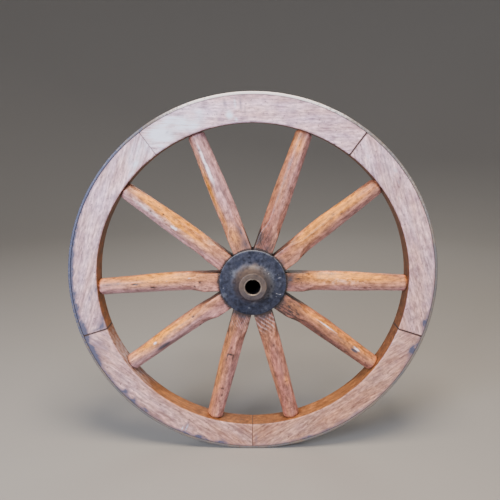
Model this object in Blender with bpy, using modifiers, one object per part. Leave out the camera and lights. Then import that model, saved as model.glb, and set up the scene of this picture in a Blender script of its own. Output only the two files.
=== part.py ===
# Wooden wheelbarrow wheel: ten spokes, five felloes, a shrunk iron tyre and a two-flange iron hub.
# The axle runs along Y, the front of the wheel looks along -Y, +Z is up, the origin is the wheel's centre.
# Metres throughout. Angles round the wheel are in degrees, anticlockwise from +X as seen from the front.
from math import atan2, cos, pi, radians, sin, sqrt, tan

import bmesh
import bpy
from mathutils import Matrix, Vector

# Driving dimensions
WHEEL_DIAMETER = 0.610
GAP = 0.0003                 # clearance kept between pieces that bear on each other
TURN_STEPS = 40

TYRE_THICKNESS = 0.0042
TYRE_WIDTH = 0.0362
TYRE_EDGE_RADIUS = 0.0013

FELLOE_COUNT = 5
FELLOE_DEPTH = 0.0422        # measured along a radius
FELLOE_THICKNESS = 0.0348    # measured along the axle
FELLOE_ARRIS = 0.0025
FELLOE_STEPS = 20
FIRST_JOINT = 54.0
JOINT_GAP = 0.0004

DOWEL_RADIUS = 0.0050
DOWEL_LENGTH = 0.040
DOWEL_END_CHAMFER = 0.0008

SPOKE_COUNT = 10
SPOKE_TIP_OFFSETS = (-0.7, 2.5, -0.5, 2.6, -0.5, 2.3, -1.0, 2.9, -2.3, 0.6)
FOOT_WIDTH = 0.0318
FOOT_DEPTH = 0.0255
FOOT_CORNER = 0.0014
FOOT_LENGTH = 0.034          # square part outside the flange
SHOULDER_LENGTH = 0.020      # square to oval
BODY_WIDTH = 0.0318
BODY_DEPTH = 0.0285
TIP_WIDTH = 0.0276
TIP_DEPTH = 0.0250
TIP_ROUND = 0.0050
TIP_TURN = radians(60)       # the tip's rounding turns through this angle and stops at the felloe
TONGUE_RADIUS = 0.0080
CORNER_POINTS = 4            # points round each corner of a spoke's section
OVAL_CORNER = 0.96           # corner radius of an oval section over half its smaller side

WEDGE_LENGTH = 0.016
WEDGE_THICK_END = 0.0022
WEDGE_THIN_END = 0.0006
WEDGE_INSET = radians(20)    # keeps the wedge's corners inside the round tongue
KERF_OVERSHOOT = 4           # clearances by which a kerf's cutter runs out of the tongue's end

BORE_RADIUS = 0.0127
BUSH_WALL = 0.0019
BUSH_CHAMFER = 0.0005
HUB_LENGTH = 0.0810
BARREL_RADIUS = 0.0228
BOSS_EDGE_RADIUS = 0.0010
FLANGE_RADIUS = 0.0558
FLANGE_THICKNESS = 0.0035
FLANGE_RIM_RADIUS = 0.0015
FLARE_RADIUS = 0.0385        # where the boss flare meets the flange face
FLARE_RISE = 0.0008          # the face stands this much higher there than at the rim
FLARE_STEPS = 6
REAR_COLLAR_RADIUS = 0.0320
REAR_COLLAR_HEIGHT = 0.0075
NUT_ACROSS_FLATS = 0.0600
NUT_THICKNESS = 0.0105
NUT_CHAMFER = 0.0012

# Worked out from the driving dimensions
FELLOE_OUTER = WHEEL_DIAMETER / 2 - TYRE_THICKNESS - GAP
FELLOE_INNER = FELLOE_OUTER - FELLOE_DEPTH
MITRE_ANGLE = pi / SPOKE_COUNT
MITRE_END = (FOOT_WIDTH / 2 + GAP / 2 / cos(MITRE_ANGLE)) / tan(MITRE_ANGLE)
LEAN_RADIUS = max(FLANGE_RADIUS, MITRE_END)  # a spoke leans only outside its mitre and the flange
FLANGE_BACK = FOOT_DEPTH / 2 + GAP
FLANGE_FRONT = FLANGE_BACK + FLANGE_THICKNESS
CASTING_BORE = BORE_RADIUS + BUSH_WALL + GAP
COLLAR_FACE = FLANGE_FRONT + REAR_COLLAR_HEIGHT


def clear_scene():
    for old in list(bpy.data.objects):
        bpy.data.objects.remove(old, do_unlink=True)


def new_collection(name):
    collection = bpy.data.collections.new(name)
    bpy.context.scene.collection.children.link(collection)
    return collection


def new_material(name, colour, roughness, metallic):
    material = bpy.data.materials.new(name)
    material.use_nodes = True
    shader = material.node_tree.nodes["Principled BSDF"]
    shader.inputs["Base Color"].default_value = (*colour, 1.0)
    shader.inputs["Roughness"].default_value = roughness
    shader.inputs["Metallic"].default_value = metallic
    return material


def add_part(name, mesh, material):
    part = bpy.data.objects.new(name, mesh)
    wheel_parts.objects.link(part)
    mesh.materials.append(material)
    mesh.shade_smooth()
    mesh.set_sharp_from_angle(angle=radians(35))
    return part


def add_cutter(name, mesh):
    cutter = bpy.data.objects.new(name, mesh)
    cutters.objects.link(cutter)
    cutter.hide_render = True
    cutter.display_type = "WIRE"
    return cutter


def cut(part, cutter):
    boolean = part.modifiers.new("cut_" + cutter.name, "BOOLEAN")
    boolean.operation = "DIFFERENCE"
    boolean.object = cutter
    boolean.solver = "EXACT"


def mesh_from(bm, name):
    bmesh.ops.recalc_face_normals(bm, faces=bm.faces)
    mesh = bpy.data.meshes.new(name)
    bm.to_mesh(mesh)
    bm.free()
    return mesh


def arc(centre, radius, start, end, count):
    """Points on an arc in a (radius, height) profile; angles in degrees from the outward direction."""
    points = []
    for step in range(count + 1):
        angle = radians(start + (end - start) * step / count)
        points.append((centre[0] + radius * cos(angle), centre[1] + radius * sin(angle)))
    return points


def turned(name, outline, steps, material):
    """A turned piece: the outline's heights point to the front, its outer side runs front to back."""
    bm = bmesh.new()
    corners = [bm.verts.new((radius, 0.0, height)) for radius, height in outline]
    for first, second in zip(corners, corners[1:] + corners[:1]):
        bm.edges.new((first, second))
    mesh = bpy.data.meshes.new(name)
    bm.to_mesh(mesh)
    bm.free()
    part = add_part(name, mesh, material)
    screw = part.modifiers.new("turning", "SCREW")
    screw.axis = "Z"
    screw.angle = 2 * pi
    screw.steps = steps
    screw.render_steps = steps
    screw.use_merge_vertices = True
    screw.merge_threshold = 0.00001
    screw.use_smooth_shade = True
    part.rotation_euler = (pi / 2, 0.0, 0.0)
    return part


def round_the_wheel(angle):
    """Turns +X to the given angle round the wheel."""
    return Matrix.Rotation(-angle, 4, "Y")


def cylinder_along_x(radius, length, segments, end_chamfer=0.0):
    bm = bmesh.new()
    along_x = Matrix.Rotation(pi / 2, 4, "Y")
    bmesh.ops.create_cone(bm, cap_ends=True, segments=segments, radius1=radius, radius2=radius,
                          depth=length, matrix=along_x)
    if end_chamfer:
        rims = [edge for edge in bm.edges if abs(edge.verts[0].co.x - edge.verts[1].co.x) < length / 2]
        bmesh.ops.bevel(bm, geom=rims, offset=end_chamfer, segments=1, affect="EDGES", profile=0.5,
                        material=-1)
    return bm


# ---------------------------------------------------------------- spokes

def spoke_angle(index):
    return 2 * pi * index / SPOKE_COUNT


def spoke_lean(index):
    """Turn of a spoke about its pivot near the flange's edge, so that its tip lands off its own radius."""
    offset = radians(SPOKE_TIP_OFFSETS[index % len(SPOKE_TIP_OFFSETS)])
    return atan2(FELLOE_INNER * sin(offset), FELLOE_INNER * cos(offset) - LEAN_RADIUS)


def leaning(index):
    """Matrix that leans a spoke, lying along +X, about its pivot."""
    pivot = Matrix.Translation((LEAN_RADIUS, 0.0, 0.0))
    return pivot @ round_the_wheel(spoke_lean(index)) @ pivot.inverted()


def reach(index, half_width, radius):
    """Distance along a leaning spoke at which both its edges are still inside the radius."""
    lean = spoke_lean(index)
    along = Vector((cos(lean), sin(lean)))
    across = Vector((-sin(lean), cos(lean)))
    distances = []
    for side in (-half_width, half_width):
        start = Vector((LEAN_RADIUS, 0.0)) + across * side
        forward = start.dot(along)
        distances.append(sqrt(forward ** 2 - start.length_squared + radius ** 2) - forward)
    return LEAN_RADIUS + min(distances)


def section(width, depth, corner):
    """Rounded rectangle across a spoke: (axle direction, direction round the wheel)."""
    points = []
    for quarter in range(4):
        side_y = depth / 2 - corner
        side_z = width / 2 - corner
        centre_y = side_y if quarter in (0, 3) else -side_y
        centre_z = side_z if quarter in (0, 1) else -side_z
        for step in range(CORNER_POINTS):
            angle = pi / 2 * (quarter + step / (CORNER_POINTS - 1))
            points.append((centre_y + corner * cos(angle), centre_z + corner * sin(angle)))
    return points


def foot_width(distance):
    """Width of a mitred foot at a distance from the axle."""
    return 2 * (distance * tan(MITRE_ANGLE) - GAP / 2 / cos(MITRE_ANGLE))


def oval_station(distance, width, depth):
    return distance, width, depth, min(width, depth) / 2 * OVAL_CORNER


def make_spoke(index, material):
    barrel_end = BARREL_RADIUS + GAP
    foot_end = FLANGE_RADIUS + FOOT_LENGTH
    body_start = foot_end + SHOULDER_LENGTH
    tip = reach(index, TIP_WIDTH / 2, FELLOE_INNER - GAP)
    tongue_end = reach(index, TONGUE_RADIUS, FELLOE_OUTER)
    # distance from the axle, width, depth, corner radius
    stations = [
        (barrel_end, foot_width(barrel_end), FOOT_DEPTH, FOOT_CORNER),
        (MITRE_END, FOOT_WIDTH, FOOT_DEPTH, FOOT_CORNER),
        (foot_end, FOOT_WIDTH, FOOT_DEPTH, FOOT_CORNER),
        oval_station(body_start, BODY_WIDTH, BODY_DEPTH),
    ]
    for angle in (0.0, TIP_TURN / 2, TIP_TURN):
        narrowing = 2 * TIP_ROUND * (1 - cos(angle))
        distance = tip - TIP_ROUND * (1 - sin(angle) / sin(TIP_TURN))
        stations.append(oval_station(distance, TIP_WIDTH - narrowing, TIP_DEPTH - narrowing))
    stations.append(oval_station(tip, 2 * TONGUE_RADIUS, 2 * TONGUE_RADIUS))
    stations.append(oval_station(tongue_end, 2 * TONGUE_RADIUS, 2 * TONGUE_RADIUS))
    lean = leaning(index)
    bm = bmesh.new()
    rings = []
    for distance, width, depth, corner in stations:
        place = lean if distance > LEAN_RADIUS else Matrix.Identity(4)
        ring = [bm.verts.new(place @ Vector((distance, y, z))) for y, z in section(width, depth, corner)]
        rings.append(ring)
    for ring, following in zip(rings, rings[1:]):
        for corner in range(len(ring)):
            after = (corner + 1) % len(ring)
            bm.faces.new((ring[corner], ring[after], following[after], following[corner]))
    bm.faces.new(rings[0])
    bm.faces.new(rings[-1])
    name = f"spoke_{index + 1}"
    spoke = add_part(name, mesh_from(bm, name), material)
    spoke.rotation_euler = (0.0, -spoke_angle(index), 0.0)
    kerf_width = 4 * TONGUE_RADIUS
    kerf = add_cutter(f"kerf_{index + 1}", wedge_mesh(f"kerf_{index + 1}", index, kerf_width, GAP))
    kerf.rotation_euler = spoke.rotation_euler
    cut(spoke, kerf)


def wedge_mesh(name, index, width, clearance=0.0):
    """A wedge across the tongue's end, in the plane of the axle; the clearance fattens it to its kerf."""
    outer = reach(index, TONGUE_RADIUS, FELLOE_OUTER) - GAP + KERF_OVERSHOOT * clearance
    length = WEDGE_LENGTH + (1 + KERF_OVERSHOOT) * clearance
    bm = bmesh.new()
    for vert in bmesh.ops.create_cube(bm, size=1.0)["verts"]:
        thickness = WEDGE_THICK_END if vert.co.x > 0 else WEDGE_THIN_END
        vert.co = Vector((outer + (vert.co.x - 0.5) * length, vert.co.y * width,
                          vert.co.z * (thickness + 2 * clearance)))
    bmesh.ops.transform(bm, matrix=leaning(index), verts=bm.verts)
    return mesh_from(bm, name)


def make_tongue_wedge(index, material):
    name = f"tongue_wedge_{index + 1}"
    width = 2 * TONGUE_RADIUS * cos(WEDGE_INSET)
    wedge = add_part(name, wedge_mesh(name, index, width), material)
    wedge.rotation_euler = (0.0, -spoke_angle(index), 0.0)


# ---------------------------------------------------------------- rim

def joint_angle(index):
    return radians(FIRST_JOINT) + 2 * pi * index / FELLOE_COUNT


def felloe_outline():
    """Cross-section of a felloe as (radius, height), with its inner arrises rounded."""
    half = FELLOE_THICKNESS / 2
    inner = FELLOE_INNER
    worn = FELLOE_ARRIS
    outline = [(FELLOE_OUTER, half), (FELLOE_OUTER, -half)]
    outline += arc((inner + worn, -half + worn), worn, 270, 180, 3)
    outline += arc((inner + worn, half - worn), worn, 180, 90, 3)
    return outline


def make_felloe(index, material, joint_cutters, tongue_cutters):
    half_gap = JOINT_GAP / 2 / FELLOE_INNER
    start = joint_angle(index) + half_gap
    sweep = 2 * pi / FELLOE_COUNT - 2 * half_gap
    bm = bmesh.new()
    corners = [bm.verts.new((radius, -height, 0.0)) for radius, height in felloe_outline()]
    face = bm.faces.new(corners)
    bmesh.ops.spin(bm, geom=[face], cent=(0, 0, 0), axis=(0, -1, 0), angle=sweep, steps=FELLOE_STEPS,
                   use_merge=False, use_duplicate=False)
    bmesh.ops.transform(bm, matrix=round_the_wheel(start), verts=bm.verts)
    name = f"felloe_{index + 1}"
    felloe = add_part(name, mesh_from(bm, name), material)
    for end in (index, (index + 1) % FELLOE_COUNT):
        cut(felloe, joint_cutters[end])
    for spoke, cutter in enumerate(tongue_cutters):
        if 0 < (spoke_angle(spoke) - joint_angle(index)) % (2 * pi) < 2 * pi / FELLOE_COUNT:
            cut(felloe, cutter)


def dowel_place(index):
    """Middle of a felloe joint, with +X pointing round the wheel."""
    middle = Matrix.Translation(((FELLOE_OUTER + FELLOE_INNER) / 2, 0.0, 0.0))
    return round_the_wheel(joint_angle(index)) @ middle @ Matrix.Rotation(-pi / 2, 4, "Y")


def make_joint_cutter(index):
    bm = cylinder_along_x(DOWEL_RADIUS + GAP, DOWEL_LENGTH + 2 * GAP, 16)
    bmesh.ops.transform(bm, matrix=dowel_place(index), verts=bm.verts)
    return add_cutter(f"dowel_hole_{index + 1}", mesh_from(bm, f"dowel_hole_{index + 1}"))


def make_dowel(index, material):
    name = f"felloe_dowel_{index + 1}"
    bm = cylinder_along_x(DOWEL_RADIUS, DOWEL_LENGTH, 16, DOWEL_END_CHAMFER)
    dowel = add_part(name, mesh_from(bm, name), material)
    dowel.matrix_world = dowel_place(index)


def make_tongue_cutter(index):
    middle = (FELLOE_OUTER + FELLOE_INNER) / 2
    bm = cylinder_along_x(TONGUE_RADIUS + GAP, 2 * FELLOE_DEPTH, 24)
    place = round_the_wheel(spoke_angle(index)) @ leaning(index) @ Matrix.Translation((middle, 0.0, 0.0))
    bmesh.ops.transform(bm, matrix=place, verts=bm.verts)
    return add_cutter(f"tongue_hole_{index + 1}", mesh_from(bm, f"tongue_hole_{index + 1}"))


def make_tyre(material):
    outer = WHEEL_DIAMETER / 2
    inner = outer - TYRE_THICKNESS
    half = TYRE_WIDTH / 2
    worn = TYRE_EDGE_RADIUS
    outline = [(inner, half)]
    outline += arc((outer - worn, half - worn), worn, 90, 0, 2)
    outline += arc((outer - worn, -half + worn), worn, 0, -90, 2)
    outline += [(inner, -half)]
    tyre = turned("tyre", outline, FELLOE_COUNT * FELLOE_STEPS, material)
    tyre.rotation_euler = (pi / 2, -radians(FIRST_JOINT), 0.0)


# ---------------------------------------------------------------- hub

def flange_rim(direction):
    """Rounded rim of a flange, from its outer face to its inner face."""
    worn = FLANGE_RIM_RADIUS
    rim = arc((FLANGE_RADIUS - worn, FLANGE_FRONT - worn), worn, 90, 0, 3)
    rim += arc((FLANGE_RADIUS - worn / 2, FLANGE_BACK + worn / 2), worn / 2, 0, -90, 2)
    return [(radius, direction * height) for radius, height in rim]


def make_hub_casting(material):
    front = HUB_LENGTH / 2
    worn = BOSS_EDGE_RADIUS
    flare_top = front - worn
    flare_foot = FLANGE_FRONT + FLARE_RISE
    outline = [(CASTING_BORE, front)]
    outline += arc((BARREL_RADIUS - worn, front - worn), worn, 90, 0, 2)
    for step in range(1, FLARE_STEPS + 1):
        angle = pi / 2 * step / FLARE_STEPS
        radius = FLARE_RADIUS - (FLARE_RADIUS - BARREL_RADIUS) * cos(angle)
        outline.append((radius, flare_top - (flare_top - flare_foot) * sin(angle)))
    outline += flange_rim(1)
    outline += [(BARREL_RADIUS, FLANGE_BACK)]
    outline += arc((BARREL_RADIUS - worn, -front + worn), worn, 0, -90, 2)
    outline += [(CASTING_BORE, -front)]
    turned("hub_casting", outline, TURN_STEPS, material)


def make_rear_flange(material):
    bore = BARREL_RADIUS + GAP
    worn = BOSS_EDGE_RADIUS
    outline = list(reversed(flange_rim(-1)))
    outline = [(bore, -FLANGE_BACK)] + outline
    outline += [(REAR_COLLAR_RADIUS + worn, -FLANGE_FRONT)]
    outline += [(REAR_COLLAR_RADIUS, -FLANGE_FRONT - worn)]
    outline += arc((REAR_COLLAR_RADIUS - worn, -COLLAR_FACE + worn), worn, 0, -90, 2)
    outline += [(bore, -COLLAR_FACE)]
    turned("hub_rear_flange", outline, TURN_STEPS, material)


def make_ring_nut(material):
    bm = bmesh.new()
    lying = Matrix.Rotation(pi / 2, 4, "X")
    middle = COLLAR_FACE + GAP + NUT_THICKNESS / 2
    corner = NUT_ACROSS_FLATS / 2 / cos(pi / 6)
    bmesh.ops.create_cone(bm, cap_ends=True, segments=6, radius1=corner, radius2=corner,
                          depth=NUT_THICKNESS, matrix=Matrix.Translation((0, middle, 0)) @ lying)
    rims = [edge for edge in bm.edges if abs(edge.verts[0].co.y - edge.verts[1].co.y) < GAP]
    bmesh.ops.bevel(bm, geom=rims, offset=NUT_CHAMFER, segments=1, affect="EDGES", profile=0.5, material=-1)
    nut = add_part("hub_ring_nut", mesh_from(bm, "hub_ring_nut"), material)
    bm = bmesh.new()
    bmesh.ops.create_cone(bm, cap_ends=True, segments=TURN_STEPS, radius1=BARREL_RADIUS + GAP,
                          radius2=BARREL_RADIUS + GAP, depth=HUB_LENGTH,
                          matrix=Matrix.Translation((0, middle, 0)) @ lying)
    cut(nut, add_cutter("nut_bore", mesh_from(bm, "nut_bore")))


def make_bush(material):
    outer = BORE_RADIUS + BUSH_WALL
    end = HUB_LENGTH / 2
    slope = BUSH_CHAMFER
    outline = [(BORE_RADIUS + slope, end), (outer, end), (outer, -end), (BORE_RADIUS + slope, -end),
               (BORE_RADIUS, -end + slope), (BORE_RADIUS, end - slope)]
    turned("axle_bush", outline, TURN_STEPS, material)


clear_scene()
wheel_parts = new_collection("wheelbarrow_wheel")
cutters = new_collection("cutters")

felloe_wood = new_material("felloe_wood", (0.50, 0.31, 0.22), 0.62, 0.0)
spoke_wood = new_material("spoke_wood", (0.52, 0.25, 0.12), 0.42, 0.0)
peg_wood = new_material("peg_wood", (0.45, 0.30, 0.18), 0.60, 0.0)
tyre_iron = new_material("tyre_iron", (0.16, 0.16, 0.18), 0.55, 0.85)
hub_iron = new_material("hub_iron", (0.05, 0.06, 0.10), 0.48, 0.30)
nut_iron = new_material("nut_iron", (0.08, 0.08, 0.10), 0.50, 0.60)
bush_steel = new_material("bush_steel", (0.38, 0.33, 0.29), 0.40, 0.90)

joint_cutters = [make_joint_cutter(index) for index in range(FELLOE_COUNT)]
tongue_cutters = [make_tongue_cutter(index) for index in range(SPOKE_COUNT)]
for index in range(FELLOE_COUNT):
    make_felloe(index, felloe_wood, joint_cutters, tongue_cutters)
    make_dowel(index, peg_wood)
for index in range(SPOKE_COUNT):
    make_spoke(index, spoke_wood)
    make_tongue_wedge(index, peg_wood)
make_tyre(tyre_iron)
make_hub_casting(hub_iron)
make_rear_flange(hub_iron)
make_ring_nut(nut_iron)
make_bush(bush_steel)
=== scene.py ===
from math import atan2, cos, degrees, exp, hypot, pi, radians, sin, sqrt, tan
from random import Random

import bmesh
import bpy
from mathutils import Matrix, Vector, noise


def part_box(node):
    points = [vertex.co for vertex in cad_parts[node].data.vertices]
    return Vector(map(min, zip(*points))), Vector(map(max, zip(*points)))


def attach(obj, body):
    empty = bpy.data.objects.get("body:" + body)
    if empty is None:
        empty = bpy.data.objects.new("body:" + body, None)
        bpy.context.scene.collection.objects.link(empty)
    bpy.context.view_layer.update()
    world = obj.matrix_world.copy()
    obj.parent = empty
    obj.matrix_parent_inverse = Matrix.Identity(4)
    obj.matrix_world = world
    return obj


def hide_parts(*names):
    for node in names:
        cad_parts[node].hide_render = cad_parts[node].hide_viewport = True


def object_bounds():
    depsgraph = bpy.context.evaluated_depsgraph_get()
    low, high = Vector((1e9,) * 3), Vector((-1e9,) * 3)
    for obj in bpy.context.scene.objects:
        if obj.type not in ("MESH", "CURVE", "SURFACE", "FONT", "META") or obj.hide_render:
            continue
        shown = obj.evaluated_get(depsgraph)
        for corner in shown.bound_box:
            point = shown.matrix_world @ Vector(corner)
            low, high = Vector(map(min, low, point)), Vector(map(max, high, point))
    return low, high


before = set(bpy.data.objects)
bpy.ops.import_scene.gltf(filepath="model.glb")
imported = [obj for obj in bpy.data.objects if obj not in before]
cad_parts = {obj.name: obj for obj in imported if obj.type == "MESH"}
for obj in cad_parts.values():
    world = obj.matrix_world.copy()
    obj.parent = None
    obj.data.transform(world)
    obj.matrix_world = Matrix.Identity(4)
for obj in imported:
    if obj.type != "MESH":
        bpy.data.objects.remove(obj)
cadLow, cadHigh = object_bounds()
print("frame loaded:", len(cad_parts), "nodes")

mm = 0.001
tiny = 0.001 * mm
wheelRadius = cadHigh.x
hubHalf = cadHigh.y
tyreLow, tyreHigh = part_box("tyre")


# ---- camera, light and floor

camera = {
    "lens": 37.05,
    "place": (-0.0031, -0.8364, 0.2374),
    "tiltDown": 12.45,
    "turn": 0.1,
}

lights = {
    "ceiling": {"place": (0.05, -0.5, 1.45), "aim": (0.0, 0.0, 0.05), "size": (0.7, 0.6), "power": 36.0,
                "colour": (1.0, 0.85, 0.68)},
    "window": {"place": (-1.1, -1.55, 0.85), "aim": (0.0, 0.0, 0.05), "size": (0.8, 0.9), "power": 42.0,
               "colour": (0.78, 0.84, 1.0)},
    "lowWindow": {"place": (-1.15, -1.65, -0.02), "aim": (0.0, 0.0, 0.0), "size": (0.26, 0.32), "power": 11.0,
                  "colour": (0.74, 0.82, 1.0)},
    "doorway": {"place": (1.0, -1.7, 0.12), "aim": (0.0, 0.0, 0.0), "size": (0.3, 0.7), "power": 10.0,
                "colour": (0.8, 0.87, 1.0)},
    "behind": {"place": (0.7, 1.9, 1.5), "aim": (0.0, 0.3, -0.2), "size": (1.6, 1.2), "power": 14.0,
               "colour": (1.0, 0.96, 0.9)},
}

room = {"colour": (0.93, 0.95, 1.0, 1.0), "strength": 0.2}

floor = {"radius": 2.2, "riseRadius": 2.2, "riseSteps": 12, "height": 3.0, "sides": 64,
         "colour": (0.35, 0.33, 0.305), "roughness": 0.9}


def addObject(name, data):
    thing = bpy.data.objects.new(name, data)
    bpy.context.scene.collection.objects.link(thing)
    return thing


def makeCamera():
    data = bpy.data.cameras.new("viewCamera")
    data.lens = camera["lens"]
    data.sensor_width = 36.0
    spot = addObject("viewCamera", data)
    spot.location = camera["place"]
    spot.rotation_euler = (pi / 2 - radians(camera["tiltDown"]), 0.0, radians(camera["turn"]))
    bpy.context.scene.camera = spot


def makeLights():
    for name, values in lights.items():
        data = bpy.data.lights.new(name, "AREA")
        data.shape = "RECTANGLE"
        data.size, data.size_y = values["size"]
        data.energy = values["power"]
        data.color = values["colour"]
        lamp = addObject(name, data)
        lamp.location = values["place"]
        aim = Vector(values["aim"]) - Vector(values["place"])
        lamp.rotation_euler = aim.to_track_quat("-Z", "Y").to_euler()
    world = bpy.data.worlds.new("roomLight")
    world.use_nodes = True
    sky = world.node_tree.nodes["Background"]
    sky.inputs["Color"].default_value = room["colour"]
    sky.inputs["Strength"].default_value = room["strength"]
    bpy.context.scene.world = world


def makeFloor():
    # a flat round floor whose far edge sweeps up
    bm = bmesh.new()
    run = floor["radius"]
    rise = floor["riseRadius"]
    path = [(0.0, 0.0), (run, 0.0)]
    for step in range(1, floor["riseSteps"] + 1):
        turn = pi / 2 * step / floor["riseSteps"]
        path.append((run + rise * sin(turn), rise * (1 - cos(turn))))
    path.append((run + rise, floor["height"]))
    verts = [bm.verts.new((out, 0.0, cadLow.z + up)) for out, up in path]
    edges = [bm.edges.new(pair) for pair in zip(verts, verts[1:])]
    bmesh.ops.spin(bm, geom=verts + edges, cent=(0, 0, 0), axis=(0, 0, 1), angle=2 * pi,
                   steps=floor["sides"], use_merge=True)
    bmesh.ops.remove_doubles(bm, verts=bm.verts, dist=0.0001)
    for face in bm.faces:
        face.smooth = True
        if face.normal.z < 0 and face.calc_center_median().z < cadLow.z + 0.01:
            face.normal_flip()
    mesh = bpy.data.meshes.new("paleFloor")
    bm.to_mesh(mesh)
    bm.free()
    paint = bpy.data.materials.new("palePaint")
    paint.use_nodes = True
    shader = paint.node_tree.nodes["Principled BSDF"]
    shader.inputs["Base Color"].default_value = (*floor["colour"], 1.0)
    shader.inputs["Roughness"].default_value = floor["roughness"]
    mesh.materials.append(paint)
    addObject("paleFloor", mesh)


makeCamera()
makeLights()
makeFloor()
print("camera, lights and floor placed")


# ---- shader building blocks

# how strongly the noise breaks up a mask, and how much of it is taken away again
gritGain, gritOffset = 2.6, -0.45


def addNode(tree, kind, values=None, **settings):
    node = tree.nodes.new(kind)
    for name, value in settings.items():
        setattr(node, name, value)
    for name, value in (values or {}).items():
        socket = node.inputs[name]
        if isinstance(value, bpy.types.NodeSocket):
            tree.links.new(value, socket)
        else:
            socket.default_value = value
    return node


def readAttribute(tree, name):
    return addNode(tree, "ShaderNodeAttribute", attribute_name=name)


def noiseOf(tree, vector, scale, detail=4.0, rough=0.55, distortion=0.0):
    return addNode(tree, "ShaderNodeTexNoise", {"Vector": vector, "Scale": scale, "Detail": detail,
                                                 "Roughness": rough, "Distortion": distortion}).outputs["Fac"]


def streaks(tree, grain, along, across, *settings):
    # noise that is finer across the grain than along it
    scale = {"Vector": grain, "Scale": (along, across, across)}
    return noiseOf(tree, addNode(tree, "ShaderNodeMapping", scale).outputs["Vector"], 1.0, *settings)


def ramp(tree, factor, *stops):
    # each stop is a place and a grey value or a colour
    node = addNode(tree, "ShaderNodeValToRGB", {"Fac": factor})
    elements = node.color_ramp.elements
    while len(elements) < len(stops):
        elements.new(0.5)
    for element, (place, colour) in zip(elements, stops):
        element.position = place
        element.color = (*colour, 1.0) if isinstance(colour, tuple) else (colour, colour, colour, 1.0)
    return node.outputs["Color"]


def mixColour(tree, factor, first, second, blend="MIX"):
    node = tree.nodes.new("ShaderNodeMix")
    node.data_type = "RGBA"
    node.blend_type = blend
    for socket, value in ((node.inputs[0], factor), (node.inputs[6], first), (node.inputs[7], second)):
        if isinstance(value, bpy.types.NodeSocket):
            tree.links.new(value, socket)
        elif isinstance(value, tuple):
            socket.default_value = (*value, 1.0)
        else:
            socket.default_value = value
    return node.outputs[2]


def sums(tree, operation, first, second=0.0, clamp=False):
    node = addNode(tree, "ShaderNodeMath", operation=operation, use_clamp=clamp)
    for socket, value in zip(node.inputs, (first, second)):
        if isinstance(value, bpy.types.NodeSocket):
            tree.links.new(value, socket)
        else:
            socket.default_value = value
    return node.outputs[0]


def bumpFrom(tree, height, strength, distance, before=None):
    values = {"Height": height, "Strength": strength, "Distance": distance}
    if before is not None:
        values["Normal"] = before
    return addNode(tree, "ShaderNodeBump", values).outputs["Normal"]


def newFinish(name, **fixed):
    material = bpy.data.materials.new(name)
    material.use_nodes = True
    tree = material.node_tree
    shader = tree.nodes["Principled BSDF"]
    for socket, value in fixed.items():
        shader.inputs[socket.replace("_", " ")].default_value = value
    return material, tree, shader


def wire(tree, shader, **sources):
    # joins each source to the shader's socket of that name
    for name, source in sources.items():
        tree.links.new(source, shader.inputs[name.replace("_", " ")])


def weighted(tree, first, firstShare, second, secondShare):
    added = sums(tree, "MULTIPLY", second, secondShare)
    return sums(tree, "ADD", sums(tree, "MULTIPLY", first, firstShare), added)


def splitMarks(tree):
    # the four painted masks; what each stands for depends on the finish
    marks = readAttribute(tree, "marks")
    split = addNode(tree, "ShaderNodeSeparateColor", {"Color": marks.outputs["Color"]})
    return split.outputs[0], split.outputs[1], split.outputs[2], marks.outputs["Alpha"]


def ragged(tree, mask, grit, low, high):
    # breaks up a soft mask with a gritty noise so that its edge looks worn
    uneven = sums(tree, "ADD", sums(tree, "MULTIPLY", grit, gritGain), gritOffset)
    return ramp(tree, sums(tree, "MULTIPLY", mask, uneven), (low, 0.0), (high, 1.0))


def layered(tree, body, *layers):
    # each layer is a mask, the noise that breaks it up, where that starts and ends, and a colour
    for mask, texture, low, high, colour in layers:
        body = mixColour(tree, ragged(tree, mask, texture, low, high), body, colour)
    return body


# ---- wood finishes

spokeFinish = {
    "rosy": (0.445, 0.155, 0.112),
    "tan": (0.535, 0.2, 0.098),
    # orange varnish; its long bands on the spokes' upper sides also stand for painted warm light from above
    "honey": (0.84, 0.3, 0.028),
    # painted cool sheen: cool light reflected on the spokes
    "coolSheen": (0.56, 0.32, 0.35),
    "dark": (0.04, 0.02, 0.016),
    "slate": (0.085, 0.07, 0.09),
    # pale scratches and saw marks, also used for painted highlights and painted sheen
    "pale": (0.96, 0.8, 0.86),
}

felloeFinish = {
    # the face under a painted cool reflection of the light from the upper left
    "coolLit": (0.8, 0.59, 0.715),
    "coolLitStreak": (0.72, 0.47, 0.49),
    "warm": (0.62, 0.35, 0.26),
    "warmStreak": (0.54, 0.26, 0.165),
    "inner": (0.39, 0.148, 0.042),
    # painted shade on the inner face
    "innerShaded": (0.11, 0.045, 0.025),
    "dark": (0.07, 0.04, 0.032),
    "slate": (0.088, 0.086, 0.14),
    # pale scuffs, also used for a painted highlight near 96 degrees
    "pale": (0.8, 0.83, 1.0),
}


def spread(tree, body, share, texture, low, high, darkest, brightest):
    # multiplies a colour by a grey that runs from darkest to brightest as the texture goes from low to high
    return mixColour(tree, share, body, ramp(tree, texture, (low, darkest), (high, brightest)), "MULTIPLY")


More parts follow.
